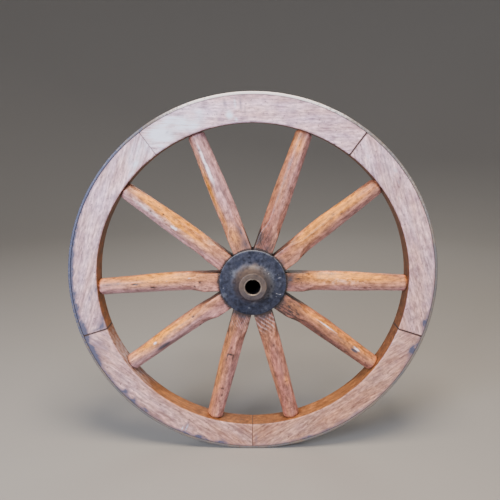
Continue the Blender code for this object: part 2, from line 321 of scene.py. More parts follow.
def makeSpokeWood():
    material, tree, shader = newFinish("varnishedSpokeWood", Coat_Weight=0.3, Coat_Roughness=0.34)
    grain = readAttribute(tree, "grain").outputs["Vector"]
    dark, slate, pale, honey = splitMarks(tree)
    broad = streaks(tree, grain, 11.0, 60.0, 3.0)
    fibres = streaks(tree, grain, 22.0, 210.0, 6.0, 0.68, 0.4)
    flecks = streaks(tree, grain, 110.0, 560.0, 4.0, 0.6)
    grit = streaks(tree, grain, 95.0, 190.0, 5.0, 0.68)
    toneAndPaintedLight = readAttribute(tree, "toneAndPaintedLight").outputs["Fac"]
    patch = ramp(tree, broad, (0.38, 0.0), (0.6, 1.0))
    body = mixColour(tree, patch, spokeFinish["rosy"], spokeFinish["tan"])
    # painted cool sheen where the tone attribute asks for it
    body = mixColour(tree, toneAndPaintedLight, body, spokeFinish["coolSheen"])
    # orange varnish patches, and painted warm light along the upper sides
    body = mixColour(tree, sums(tree, "MULTIPLY", honey, ramp(tree, broad, (0.34, 0.45), (0.56, 1.0))), body,
                     spokeFinish["honey"])
    body = spread(tree, body, 0.85, fibres, 0.33, 0.67, 0.52, 1.36)
    body = spread(tree, body, 0.85, grit, 0.36, 0.64, 0.42, 1.45)
    body = spread(tree, body, 0.75, flecks, 0.33, 0.4, 0.1, 1.0)
    body = layered(tree, body, (pale, grit, 0.18, 0.7, spokeFinish["pale"]),
                   (slate, grit, 0.15, 0.75, spokeFinish["slate"]),
                   (dark, flecks, 0.05, 0.85, spokeFinish["dark"]))
    rough = ramp(tree, weighted(tree, broad, 0.6, grit, 0.4), (0.38, 0.3), (0.6, 0.6))
    relief = weighted(tree, fibres, 0.8, grit, 0.7)
    wire(tree, shader, Base_Color=body, Roughness=rough, Normal=bumpFrom(tree, relief, 0.6, 1.6 * mm))
    return material


def makeFelloeWood():
    material, tree, shader = newFinish("scrubbedFelloeWood")
    grain = readAttribute(tree, "grain").outputs["Vector"]
    toneAndPaintedLight = readAttribute(tree, "toneAndPaintedLight").outputs["Fac"]
    dark, slate, pale, inner = splitMarks(tree)
    broad = streaks(tree, grain, 10.0, 45.0, 3.0)
    fibres = streaks(tree, grain, 20.0, 230.0, 6.0, 0.68, 0.4)
    grit = streaks(tree, grain, 100.0, 290.0, 5.0, 0.68)
    patch = ramp(tree, broad, (0.36, 0.0), (0.62, 1.0))
    coolLit = mixColour(tree, patch, felloeFinish["coolLit"], felloeFinish["coolLitStreak"])
    warm = mixColour(tree, patch, felloeFinish["warm"], felloeFinish["warmStreak"])
    # the face runs from the painted cool reflection at the upper left to the warm brown wood
    body = mixColour(tree, toneAndPaintedLight, coolLit, warm)
    # the inner face runs from painted shade to lit ochre
    innerWithShade = mixColour(tree, toneAndPaintedLight, felloeFinish["innerShaded"], felloeFinish["inner"])
    body = mixColour(tree, inner, body, innerWithShade)
    body = spread(tree, body, 0.8, fibres, 0.33, 0.67, 0.46, 1.42)
    body = spread(tree, body, 0.8, grit, 0.35, 0.65, 0.48, 1.42)
    cloud = noiseOf(tree, grain, 48.0, 4.0, 0.6)
    body = spread(tree, body, 0.85, cloud, 0.36, 0.62, (0.76, 0.71, 0.78), (1.16, 1.13, 1.1))
    pits = noiseOf(tree, grain, 250.0, 2.0, 0.5)
    body = spread(tree, body, 0.75, pits, 0.27, 0.335, 0.2, 1.0)
    body = layered(tree, body, (pale, fibres, 0.2, 0.95, felloeFinish["pale"]),
                   (slate, grit, 0.1, 1.15, felloeFinish["slate"]),
                   (dark, grit, 0.12, 0.75, felloeFinish["dark"]))
    relief = weighted(tree, fibres, 0.7, grit, 0.5)
    wire(tree, shader, Base_Color=body, Roughness=ramp(tree, grit, (0.35, 0.44), (0.65, 0.66)),
         Normal=bumpFrom(tree, relief, 0.55, 1.4 * mm))
    return material


def makePegWood():
    material, tree, shader = newFinish("pegWood")
    place = addNode(tree, "ShaderNodeTexCoord").outputs["Object"]
    fibres = streaks(tree, place, 300.0, 300.0, 5.0, 0.6)
    body = ramp(tree, fibres, (0.35, (0.3, 0.18, 0.1)), (0.65, (0.5, 0.33, 0.2)))
    wire(tree, shader, Base_Color=body, Roughness=ramp(tree, fibres, (0.3, 0.5), (0.7, 0.7)),
         Normal=bumpFrom(tree, fibres, 0.3, 0.5 * mm))
    return material


# ---- iron finishes

tyreFinish = {
    "iron": (0.17, 0.16, 0.165),
    "brown": (0.24, 0.19, 0.155),
    "rust": (0.2, 0.1, 0.055),
    "slate": (0.11, 0.12, 0.2),
    # painted highlight on the tread's edge
    "pale": (0.93, 0.84, 0.8),
    "dark": (0.03, 0.03, 0.035),
}

# base colours: two for the mottle and one for the clouds; worn colours: grey, brown and nick; on the hub the
# grey also carries painted highlights on the flange's rim and the boss's right flank
hubFinish = {
    "paint": ((0.01, 0.012, 0.024), (0.048, 0.053, 0.084), (0.02, 0.029, 0.068)),
    "worn": ((0.13, 0.14, 0.17), (0.125, 0.088, 0.068), (0.5, 0.5, 0.52)),
    "nutPaint": ((0.035, 0.034, 0.036), (0.085, 0.075, 0.07), (0.06, 0.06, 0.08)),
    "bushSkin": ((0.22, 0.18, 0.15), (0.34, 0.29, 0.25), (0.26, 0.2, 0.16)),
    "bushWorn": ((0.42, 0.38, 0.34), (0.32, 0.24, 0.19), (0.7, 0.66, 0.6)),
    # near black: grease, also used for painted shade low on the hub's flange and deep in the bore
    "grease": (0.004, 0.004, 0.006),
}


def makeTyreIron():
    material, tree, shader = newFinish("wornTyreIron")
    place = addNode(tree, "ShaderNodeTexCoord").outputs["Object"]
    dark, slate, pale, rust = splitMarks(tree)
    cloud = noiseOf(tree, place, 38.0, 5.0, 0.6)
    grit = noiseOf(tree, place, 420.0, 4.0, 0.6)
    patch = ramp(tree, cloud, (0.4, 0.0), (0.62, 1.0))
    body = mixColour(tree, patch, tyreFinish["iron"], tyreFinish["brown"])
    body = layered(tree, body, (rust, grit, 0.35, 0.62, tyreFinish["rust"]),
                   (slate, grit, 0.35, 0.62, tyreFinish["slate"]), (pale, grit, 0.25, 0.8, tyreFinish["pale"]),
                   (dark, grit, 0.1, 1.0, tyreFinish["dark"]))
    relief = weighted(tree, cloud, 0.5, grit, 0.5)
    wire(tree, shader, Base_Color=body, Metallic=ramp(tree, pale, (0.0, 0.45), (1.0, 0.0)),
         Roughness=ramp(tree, grit, (0.3, 0.42), (0.7, 0.62)), Normal=bumpFrom(tree, relief, 0.4, 0.6 * mm))
    return material


def makeHubIron(name, paint, worn, metal):
    material, tree, shader = newFinish(name)
    place = addNode(tree, "ShaderNodeTexCoord").outputs["Object"]
    dark, nick, grey, brown = splitMarks(tree)
    cloud = noiseOf(tree, place, 75.0, 5.0, 0.62)
    mottle = noiseOf(tree, place, 210.0, 4.0, 0.6)
    grit = noiseOf(tree, place, 620.0, 4.0, 0.6)
    body = mixColour(tree, ramp(tree, mottle, (0.36, 0.0), (0.66, 1.0)), paint[0], paint[1])
    body = mixColour(tree, ramp(tree, cloud, (0.5, 0.0), (0.72, 0.55)), body, paint[2])
    body = layered(tree, body, (grey, mottle, 0.2, 0.8, worn[0]))
    rubbedAndLit = sums(tree, "MULTIPLY", brown, ramp(tree, mottle, (0.3, 0.55), (0.6, 1.0)))
    body = mixColour(tree, rubbedAndLit, body, worn[1])
    # the dark mask is grease and painted shade
    body = layered(tree, body, (nick, grit, 0.35, 0.62, worn[2]), (dark, grit, 0.1, 0.9, hubFinish["grease"]))
    clean = sums(tree, "SUBTRACT", 1.0, dark, True)
    relief = weighted(tree, mottle, 0.6, grit, 0.4)
    wire(tree, shader, Base_Color=body, Metallic=sums(tree, "MULTIPLY", clean, metal),
         Specular_IOR_Level=sums(tree, "MULTIPLY", clean, 0.5),
         Roughness=ramp(tree, mottle, (0.3, 0.36), (0.7, 0.58)), Normal=bumpFrom(tree, relief, 0.45, 0.7 * mm))
    return material


finishes = {
    "spokeWood": makeSpokeWood(),
    "felloeWood": makeFelloeWood(),
    "pegWood": makePegWood(),
    "tyreIron": makeTyreIron(),
    "hubIron": makeHubIron("paintedHubIron", hubFinish["paint"], hubFinish["worn"], 0.25),
    "nutIron": makeHubIron("blackNutIron", hubFinish["nutPaint"], hubFinish["worn"], 0.5),
    "bushSteel": makeHubIron("rubbedBushSteel", hubFinish["bushSkin"], hubFinish["bushWorn"], 0.8),
}
print("finishes made:", len(finishes))


# ---- shared modelling helpers

def roundWheel(angle):
    # turns +X to that angle round the wheel
    return Matrix.Rotation(-angle, 4, "Y")


def only(kind, found):
    return [item for item in found if isinstance(item, kind)]


def fillHoles(bm):
    return bmesh.ops.holes_fill(bm, edges=[edge for edge in bm.edges if edge.is_boundary], sides=0)["faces"]


def polar(place):
    # radius and angle round the wheel
    return hypot(place.x, place.z), atan2(place.z, place.x)


def apart(angle, other):
    # how far the first angle is past the other, from -180 to 180 degrees
    return (angle - other + 180) % 360 - 180


def betweenStops(stops, turn, column=1):
    # the value at that angle, running straight from one stop to the next
    for low, high in zip(stops, stops[1:]):
        if low[0] <= turn <= high[0]:
            return low[column] + (high[column] - low[column]) * (turn - low[0]) / (high[0] - low[0])
    return stops[-1][column]


def ease(low, high, value):
    share = min(max((value - low) / (high - low), 0.0), 1.0)
    return share * share * (3 - 2 * share)


def drift(place, size, seed):
    # smooth unevenness between -1 and 1, with waves about that size
    return noise.noise(Vector(place) / size + Vector((seed * 17.3, seed * 5.1, seed * 9.7)))


def patches(place, size, seed):
    # unevenness with only the high parts left
    return max(drift(place, size, seed), 0.0)


def bell(across, width):
    return exp(-0.5 * (across / width) ** 2)


def finishPiece(bm, name, finish, nodes, sharpFrom=38.0):
    # turns a bmesh into a finished piece that stands for its CAD nodes
    mesh = bpy.data.meshes.new(name)
    bm.to_mesh(mesh)
    bm.free()
    mesh.materials.append(finishes[finish])
    mesh.shade_smooth()
    mesh.set_sharp_from_angle(angle=radians(sharpFrom))
    piece = addObject(name, mesh)
    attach(piece, "root")
    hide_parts(*nodes)


def addMasks(bm):
    return bm.verts.layers.float_color.new("marks")


def woodLayers(bm):
    # where the grain runs, the four masks, and how cool or warm the wood is painted, which carries painted
    # cool reflections and, on the felloes' inner faces, painted shade
    return bm.verts.layers.float_vector.new("grain"), addMasks(bm), bm.verts.layers.float.new("toneAndPaintedLight")


def roundOff(bm, corners, rounding, segments):
    bmesh.ops.bevel(bm, geom=corners, offset=rounding, segments=segments, affect="VERTICES", profile=0.5,
                    material=-1)


def hoopOutline(bm, halfWidth, inner, outer, cuts):
    # an outline in the XY plane; inner and outer are each a radius, a rounding and its segments
    made = bmesh.ops.create_grid(bm, x_segments=1, y_segments=1, size=1.0)
    for vert in made["verts"]:
        vert.co.x = outer[0] if vert.co.x > 0 else inner[0]
        vert.co.y = halfWidth if vert.co.y > 0 else -halfWidth
    for edgeRadius, rounding, segments in (inner, outer):
        roundOff(bm, [vert for vert in bm.verts if abs(vert.co.x - edgeRadius) < tiny
                      and abs(abs(vert.co.y) - halfWidth) < tiny], rounding, segments)
    # the faces go first, or cutting the long edges would leave walls inside the turned shape
    bmesh.ops.delete(bm, geom=bm.faces[:], context="FACES_ONLY")
    longEdges = [edge for edge in bm.edges if edge.calc_length() > halfWidth]
    bmesh.ops.subdivide_edges(bm, edges=longEdges, cuts=cuts)


def turnRound(bm, steps):
    # turns a closed outline once round the axle
    bmesh.ops.spin(bm, geom=bm.verts[:] + bm.edges[:], cent=(0, 0, 0), axis=(0, -1, 0), angle=2 * pi,
                   steps=steps, use_merge=True)
    bmesh.ops.remove_doubles(bm, verts=bm.verts, dist=0.01 * mm)
    bmesh.ops.recalc_face_normals(bm, faces=bm.faces)


# ---- spokes

flangeEdge = 55.8 * mm
rimInner = 258.3 * mm

spoke = {
    "count": 10,
    "rings": 150,
    "tipOffsets": (-0.7, 2.5, -0.5, 2.6, -0.5, 2.3, -1.0, 2.9, -2.3, 0.6),  # degrees off the even spacing
    "pivot": flangeEdge,
    "start": 23.1 * mm,
    "footWidth": 31.8 * mm,
    "footDepth": 25.5 * mm,
    "footEnd": 81.0 * mm,
    "bodyStart": 111.0 * mm,
    "bodyFull": 160.0 * mm,
    "bodyWidths": (35.0, 35.6, 33.2, 34.2, 35.2, 32.0, 31.8, 33.0, 32.0, 33.4),  # millimetres
    "bodyDepth": 28.6 * mm,
    "tipWidth": 27.6 * mm,
    "tipDepth": 25.0 * mm,
    "tipRound": 5.5 * mm,
    "end": rimInner,
    "crowdFrom": 0.94,  # share of the length past which the rings crowd towards the tip
    "trimZone": 8.0 * mm,
    "mitreGap": 0.2 * mm,
    "sides": 96,
    "squareness": 13.0,  # exponent of the section at the foot
    "ovalness": 2.25,
    "ovalPace": 0.6,  # how soon the foot's squareness is lost
    # how far out the shaved corners lie
    "chamferFoot": 20.6 * mm,
    "chamferNeck": 13.7 * mm,
    "chamferBody": 15.3 * mm,
    # per spoke: how much deeper the front corners are shaved on its left and right side
    "shaveLeft": (0.6, 0.2, -0.3, 0.7, 0.8, 1.0, 1.1, 1.0, -0.4, 0.3),
    "shaveRight": (0.7, 1.1, -0.2, 0.2, 0.2, 0.0, 0.2, 0.5, 0.6, 1.1),
    "shaveFade": 0.6,  # share of the shaving that is lost towards the tip
    "tipShave": 0.1,
    "shift": (1.2, 1.6, 0.2, -0.4, -0.6, -2.6, -3.0, -0.8, 0.3, 2.4),  # body off the foot's middle
    "shiftRise": 32.0 * mm,
    "shiftFadeFrom": 130.0 * mm,
    "waves": ((26 * mm, 0.35 * mm), (7 * mm, 0.1 * mm)),  # size and height of the uneven surface
    # per spoke: how much painted cool sheen lies on the front
    "sheen": (0.22, 0.1, 0.2, 0.7, 0.82, 0.5, 0.7, 0.16, 0.05, 0.05),
    "sawMarks": {7: (4.6, 0.46), 8: (7.6, 0.56)},  # spacing in millimetres and strength
    "sawFoot": 70 * mm,
    # painted shadow on the feet round the flange's edge
    "shadowAtFlange": 1.2,
    "gapShade": 0.62,  # painted shade in the narrow gaps between the feet
    "dentDepth": 0.5 * mm,
    "footDirt": (0.44, 0.2, 0.58, 0.32, 0.16, 0.04, 0.06, 0.36, 0.42, 0.5),
    "flangeShadowWidth": (1.5, 1.3, 1.3, 1.1, 1.2, 2.2, 2.6, 2.8, 2.6, 2.2),  # millimetres; wider on the lower spokes, where the painted shadow falls below the flange
    "footPits": (30, 8, 10, 14, 12, 18, 10, 12, 26, 80),
    "footPitSpans": ((60, 110), (-50, 50), (0.8, 2.6), (0.4, 0.8), (0.2, 0.6)),
    "bodyPits": 14,
    "bodyPitSpans": ((110, 250), (-75, 75), (0.6, 1.6), (0.5, 1.0), (0.5, 1.0)),
}

# marks on each spoke, by kind: distance from the axle, place round the section (0 front, 90 its left side),
# half length, half width, strength; distances in millimetres. The long honey bands lie on each spoke's upper
# side and are partly painted warm light from above; other painted light is noted at each spoke
spokeMarks = (
    # index 0: the long pale mark is a painted sheen
    {"dark": ((76, 25, 14, 6, 0.26), (188, -38, 3, 1.3, 1.3), (196, -36, 2.2, 1.3, 1.2),
      (103, -38, 9, 1.2, 0.35)),
     "slate": ((60, 0, 6, 14, 0.7), (66, 45, 9, 7, 0.4)),
     "pale": ((150, 12, 60, 8, 0.3),),
     "honey": ((155, 50, 75, 12, 1.4),)},
    # index 1: the long dark band at -70 is painted shade on the lower side
    {"dark": ((160, 25, 80, 15, 0.22), (184, 5, 2, 1.1, 1), (180, -70, 90, 7, 0.26),
      (101, -36, 10, 1.3, 0.4)),
     "slate": ((60, 10, 5, 12, 0.6),),
     "honey": ((120, 45, 26, 11, 1), (158, 50, 30, 11, 1.4), (205, 48, 34, 10, 1.2))},
    {"dark": ((74, 52, 9, 3, 0.9), (150, 46, 80, 12, 0.32)),
     "slate": ((72, 40, 12, 4, 0.6), (63, -20, 5, 9, 0.5)),
     "honey": ((236, 25, 14, 9, 0.8), (150, 52, 75, 9, 0.16))},
    # index 3: the two short pale strips are a painted highlight and the long pale mark a painted sheen
    {"dark": ((232, 18, 2.4, 1.8, 1.2), (240, -30, 9, 4, 0.35)),
     "slate": ((92, -34, 16, 4, 0.8), (64, -34, 9, 8, 0.6)),
     "pale": ((196, 10, 17, 2.2, 1), (226, 12, 16, 1.8, 0.85), (160, 8, 60, 8, 0.22)),
     "honey": ((84, 12, 20, 11, 0.55), (165, 56, 70, 7, 1))},
    # index 4: the short pale marks are painted glints and the long ones painted sheen
    {"dark": ((204, 12, 2.6, 1.5, 1.2), (184, -24, 1.8, 1, 0.9)),
     "slate": ((98, 36, 5, 1.3, 0.5),),
     "pale": ((160, 12, 3, 1.6, 1), (154, 10, 1.5, 1.6, 0.9), (215, 14, 26, 5, 0.3), (165, 4, 70, 7, 0.27)),
     "honey": ((165, -48, 70, 12, 2),)},
    # index 5: the long dark band at 60 is painted shade on the lower side
    {"dark": ((197, -12, 5.5, 1.5, 1.6), (88, -4, 2.4, 2.2, 1.1), (175, 60, 90, 7, 0.36),
      (166, 20, 5, 1.6, 1.2), (97, 26, 1.9, 1.6, 1.1), (112, -26, 1.6, 0.7, 0.8),
      (156, -22, 1.6, 0.7, 0.8)),
     "slate": ((160, 55, 60, 5, 0.35),),
     "pale": ((105, -30, 3, 1.4, 0.7), (143, -18, 2, 1.2, 0.5)),
     "honey": ((165, -50, 70, 12, 1.3),)},
    # index 6: the long dark band at 62 is painted shade on the lower side, and the pale mark a painted glint
    {"dark": ((175, 62, 90, 7, 0.32), (117, -28, 2.4, 1.8, 1.4)),
     "slate": ((190, 30, 11, 3, 1.7), (170, 52, 70, 5, 0.35)),
     "pale": ((198.5, -26, 3.2, 2.3, 1),),
     "honey": ((175, -48, 64, 11, 1.4),)},
    {"dark": ((165, -48, 80, 11, 0.24), (133.5, 0, 1.3, 6, 1.5), (137.5, 20, 4.4, 1.2, 1.4),
      (136.5, -22, 3.2, 1.1, 1), (199, 0, 1.4, 3, 1.3), (211, 10, 3, 1.2, 1.2), (121, -8, 2.4, 1.6, 1),
      (107, 34, 8, 1.3, 0.4)),
     "slate": ((61, 0, 6, 12, 0.8),),
     "honey": ((165, -48, 80, 9, 0.5),)},
    {"dark": ((117, 10, 3.6, 2.6, 0.8), (147, -28, 2.4, 1, 0.8), (188, 24, 1.2, 6, 0.6),
      (203, 10, 1, 8, 0.5), (238, 10, 1, 9, 0.6), (226, 10, 1, 8, 0.4)),
     "slate": ((61, 0, 7, 12, 0.8),),
     "honey": ((186, 30, 8, 5, 0.6),)},
    # index 9: the long dark bands are painted shade, on the lower side and down the front; the pale marks are
    # painted highlights, with a painted dark reflection in the slate mark at 212
    {"dark": ((76, 20, 14, 8, 0.14), (84, -25, 10, 7, 0.22), (165, -62, 95, 9, 0.7),
      (165, -12, 80, 9, 0.26), (100, -36, 9, 1.3, 0.4)),
     "slate": ((61, 0, 6, 12, 0.6), (212, 8, 6, 1.9, 1.9)),
     "pale": ((213, 27, 6.5, 1.9, 1.2), (148, 34, 22, 1.4, 0.8)),
     "honey": ((165, 50, 64, 10, 1.1),)},
)

markKinds = ("dark", "slate", "pale", "honey")
markCore = 0.75  # a mark fades out as a bell whose width is this share of its half size


def spokeLean(index):
    offset = radians(spoke["tipOffsets"][index])
    reach = spoke["end"]
    return atan2(reach * sin(offset), reach * cos(offset) - spoke["pivot"])


def softMin(first, second, blend):
    # smaller of the two, rounded over where they cross
    share = min(max(0.5 + 0.5 * (second - first) / blend, 0.0), 1.0)
    return second + (first - second) * share - blend * share * (1 - share)


def spokeSection(index, along, turn):
    # distance of the surface from the spoke's axis, that far along and at that turn from the front
    footEnd, bodyStart, bodyFull = spoke["footEnd"], spoke["bodyStart"], spoke["bodyFull"]
    toBody = ease(footEnd, bodyFull, along)
    toTip = ease(bodyStart, spoke["end"], along)
    bodyWidth = spoke["bodyWidths"][index] * mm
    width = spoke["footWidth"] + (bodyWidth - spoke["footWidth"]) * toBody
    width += (spoke["tipWidth"] - bodyWidth) * toTip
    depth = spoke["footDepth"] + (spoke["bodyDepth"] - spoke["footDepth"]) * toBody
    depth += (spoke["tipDepth"] - spoke["bodyDepth"]) * toTip
    square, rounded = 1 / spoke["squareness"], 1 / spoke["ovalness"]
    oval = square + (rounded - square) * toBody ** spoke["ovalPace"]
    front, side = cos(turn), sin(turn)
    base = (abs(front * 2 / depth) ** (1 / oval) + abs(side * 2 / width) ** (1 / oval)) ** -oval
    toNeck = min(max((along - footEnd) / (bodyStart - footEnd), 0.0), 1.0)
    toNeck = sin(pi / 2 * toNeck)  # the scoop starts abruptly and runs out gently
    shaved = spoke["chamferFoot"] + (spoke["chamferNeck"] - spoke["chamferFoot"]) * toNeck
    shaved += (spoke["chamferBody"] - spoke["chamferNeck"]) * ease(bodyStart, bodyFull, along)
    extra = spoke["shaveLeft"][index] if side > 0 else spoke["shaveRight"][index]
    shaved -= extra * mm * toNeck * (1 - spoke["shaveFade"] * toTip)
    shaved *= 1 - spoke["tipShave"] * toTip
    facing = (abs(front) + abs(side)) * sqrt(0.5)
    return softMin(base, shaved / facing, (0.5 + 2.0 * toBody) * mm)


def scatterPits(draws, count, spans):
    # that many small marks, each value drawn between its own limits
    return tuple(tuple(draws.uniform(*span) for span in spans) for _ in range(count))


def ringAt(share):
    # how far out a ring of the spoke lies
    start, end, crowd = spoke["start"], spoke["end"], spoke["crowdFrom"]
    if share <= crowd:
        return start + (end - start) * share
    return end - (end - start) * (1 - crowd) * max(1 - (share - crowd) / (1 - crowd), 0.0) ** 1.6


def paintSpoke(index, marks, along, turn, out):
    # masks for a point on the spoke, and how deep its small dark marks are dented
    painted = [0.0, 0.0, 0.0, 0.0]
    dent = 0.0
    if abs(turn) < 1.2:  # painted shadow on the foot where the flange stands proud of it
        fromFlange = hypot(along, out.y) - spoke["pivot"]
        shadowWidth = spoke["flangeShadowWidth"][index] * mm
        painted[0] += spoke["shadowAtFlange"] * bell(fromFlange - 0.6 * mm, shadowWidth)
    if index in spoke["sawMarks"] and abs(turn) < 1.0:
        spacing, amount = spoke["sawMarks"][index]
        wavy = (out.y - 0.75 * along) / (spacing * mm) + 0.5 * drift((along, out.y, 0.0), 14 * mm, 81)
        stroke = sin(2 * pi * wavy)
        painted[2] += amount * max(stroke, 0.0) * (1 - ease(spoke["sawFoot"], 118 * mm, along))
        painted[0] += amount * 0.5 * max(-stroke, 0.0) * (1 - ease(88 * mm, 112 * mm, along))
    # painted shade on the sides of the feet, in the narrow gaps between them, but not on the back of the feet
    onSide = ease(0.88, 1.02, abs(turn)) * (1 - ease(2.12, 2.26, abs(turn)))
    painted[0] += spoke["gapShade"] * onSide * (1 - ease(78 * mm, 118 * mm, along))
    painted[0] += spoke["footDirt"][index] * (1 - ease(66 * mm, 112 * mm, along))
    for channel, kind in enumerate(markKinds):
        for distance, side, halfLong, halfWide, strength in marks.get(kind, ()):
            across = radians(apart(degrees(turn), side)) * out.length
            amount = strength * bell(along - distance * mm, halfLong * mm * markCore)
            amount *= bell(across, halfWide * mm * markCore)
            painted[channel] += amount
            if kind == "dark" and halfLong < 6:
                dent += amount * spoke["dentDepth"]
    return painted, dent


def leanAndTrim(bm, lean):
    # leans the spoke about the flange's edge, closes its ends and trims the tip to the felloe's curve
    pivot, end = spoke["pivot"], spoke["end"]
    for vert in bm.verts:
        if vert.co.x > pivot:
            out, side = vert.co.x - pivot, vert.co.z
            vert.co.x = pivot + out * cos(lean) - side * sin(lean)
            vert.co.z = out * sin(lean) + side * cos(lean)
    fillHoles(bm)
    for vert in bm.verts:
        if vert.co.x > end - spoke["trimZone"] and hypot(vert.co.x, vert.co.z) > end:
            vert.co.x = sqrt(end ** 2 - vert.co.z ** 2)
    bmesh.ops.recalc_face_normals(bm, faces=bm.faces)


def makeSpoke(index):
    bm = bmesh.new()
    grainLayer, markLayer, toneAndLightLayer = woodLayers(bm)
    made = bmesh.ops.create_circle(bm, cap_ends=False, radius=1.0, segments=spoke["sides"])
    bmesh.ops.rotate(bm, verts=made["verts"], matrix=Matrix.Rotation(pi / 2, 3, "Y"))
    edges = bm.edges[:]
    for _ in range(spoke["rings"]):
        grown = bmesh.ops.extrude_edge_only(bm, edges=edges)["geom"]
        edges = only(bmesh.types.BMEdge, grown)
        bmesh.ops.translate(bm, verts=only(bmesh.types.BMVert, grown), vec=(1.0, 0.0, 0.0))
    lean = spokeLean(index)
    facing = 2 * pi * index / spoke["count"]
    draws = Random(40 + index)
    marks = dict(spokeMarks[index])
    marks["dark"] += scatterPits(draws, spoke["footPits"][index], spoke["footPitSpans"])
    marks["dark"] += scatterPits(draws, spoke["bodyPits"], spoke["bodyPitSpans"])
    (longWave, longHeight), (shortWave, shortHeight) = spoke["waves"]
    end, roundLength = spoke["end"], spoke["tipRound"]
    for vert in bm.verts:
        turn = atan2(vert.co.z, -vert.co.y)  # 0 at the front, 90 degrees on the anticlockwise side
        along = ringAt(min(max(vert.co.x / spoke["rings"], 0.0), 1.0))
        out = Vector((-cos(turn), sin(turn))) * spokeSection(index, along, turn)
        toEnd = end - along
        if toEnd < roundLength:  # the shoulder rounds over to meet the felloe
            tuck = roundLength * (1 - sqrt(max(1 - (1 - toEnd / roundLength) ** 2, 0.0)))
            out *= 1 - min(tuck, roundLength * 0.62) / out.length
        worn = ease(spoke["footEnd"] - 20 * mm, spoke["bodyFull"], along)
        wave = drift((along, out.x * 1.5, out.y * 1.5), longWave, index + 1) * longHeight * (0.4 + 0.6 * worn)
        wave += drift((along, out.x, out.y), shortWave, index + 31) * shortHeight
        painted, dent = paintSpoke(index, marks, along, turn, out)
        out *= 1 + (wave - dent) / out.length
        swell = sin(pi / 2 * min(max((along - spoke["footEnd"]) / spoke["shiftRise"], 0.0), 1.0))
        out.y += spoke["shift"][index] * mm * swell * (1 - ease(spoke["shiftFadeFrom"], end, along))
        place = Vector((along, out.x, out.y))
        if along < spoke["pivot"]:  # the feet are mitred where they meet round the hub
            side = along * tan(pi / spoke["count"]) - spoke["mitreGap"]
            place.z = min(max(place.z, -side), side)
        vert.co = place
        vert[grainLayer] = place + Vector((index * 0.9, index * 0.37, index * 0.53))
        vert[markLayer] = painted
        # painted cool sheen: the front by the spoke's own amount, more on the sides that face down and those
        # that face right, less on the feet
        upward, leftward = sin(turn) * cos(facing + lean), sin(turn) * sin(facing + lean)
        coolLit = min(max(spoke["sheen"][index] - 0.4 * upward - 0.3 * leftward, 0.0), 0.9)
        vert[toneAndLightLayer] = coolLit * (0.35 + 0.65 * worn)
    leanAndTrim(bm, lean)
    bmesh.ops.transform(bm, matrix=roundWheel(facing), verts=bm.verts)
    number = index + 1
    finishPiece(bm, f"woodSpoke{number}", "spokeWood", [f"spoke_{number}"])


for index in range(spoke["count"]):
    makeSpoke(index)
print("spokes shaped:", spoke["count"])


# ---- felloes

felloe = {
    "count": 5,
    "firstJoint": 54.0,
    "jointGap": 0.5 * mm,
    "jointDirt": (1.5, 0.45, 1.5, 0.45, 1.6),  # how dark each joint is, from the one at 54 degrees on
    "outer": 300.5 * mm,
    "inner": rimInner,
    "thickness": 34.8 * mm,
    "innerArris": 2.6 * mm,
    "outerArris": 0.9 * mm,
    "endChamfer": 0.5 * mm,
    "steps": 170,
    "cuts": 19,
    "paintDepth": 3.5 * mm,  # how far round the front edges the marks reach
    "warmer": (-0.04, 0.0, 0.02, 0.16, -0.06),  # each felloe's own warmth
    "reflectionAngle": 108.0,  # the angle at which the painted cool reflection is strongest and the rim is palest
    # a greyed part of the inner face
    "greyed": {"angle": 213, "width": 15, "slate": 0.16, "pale": 0.42},
}

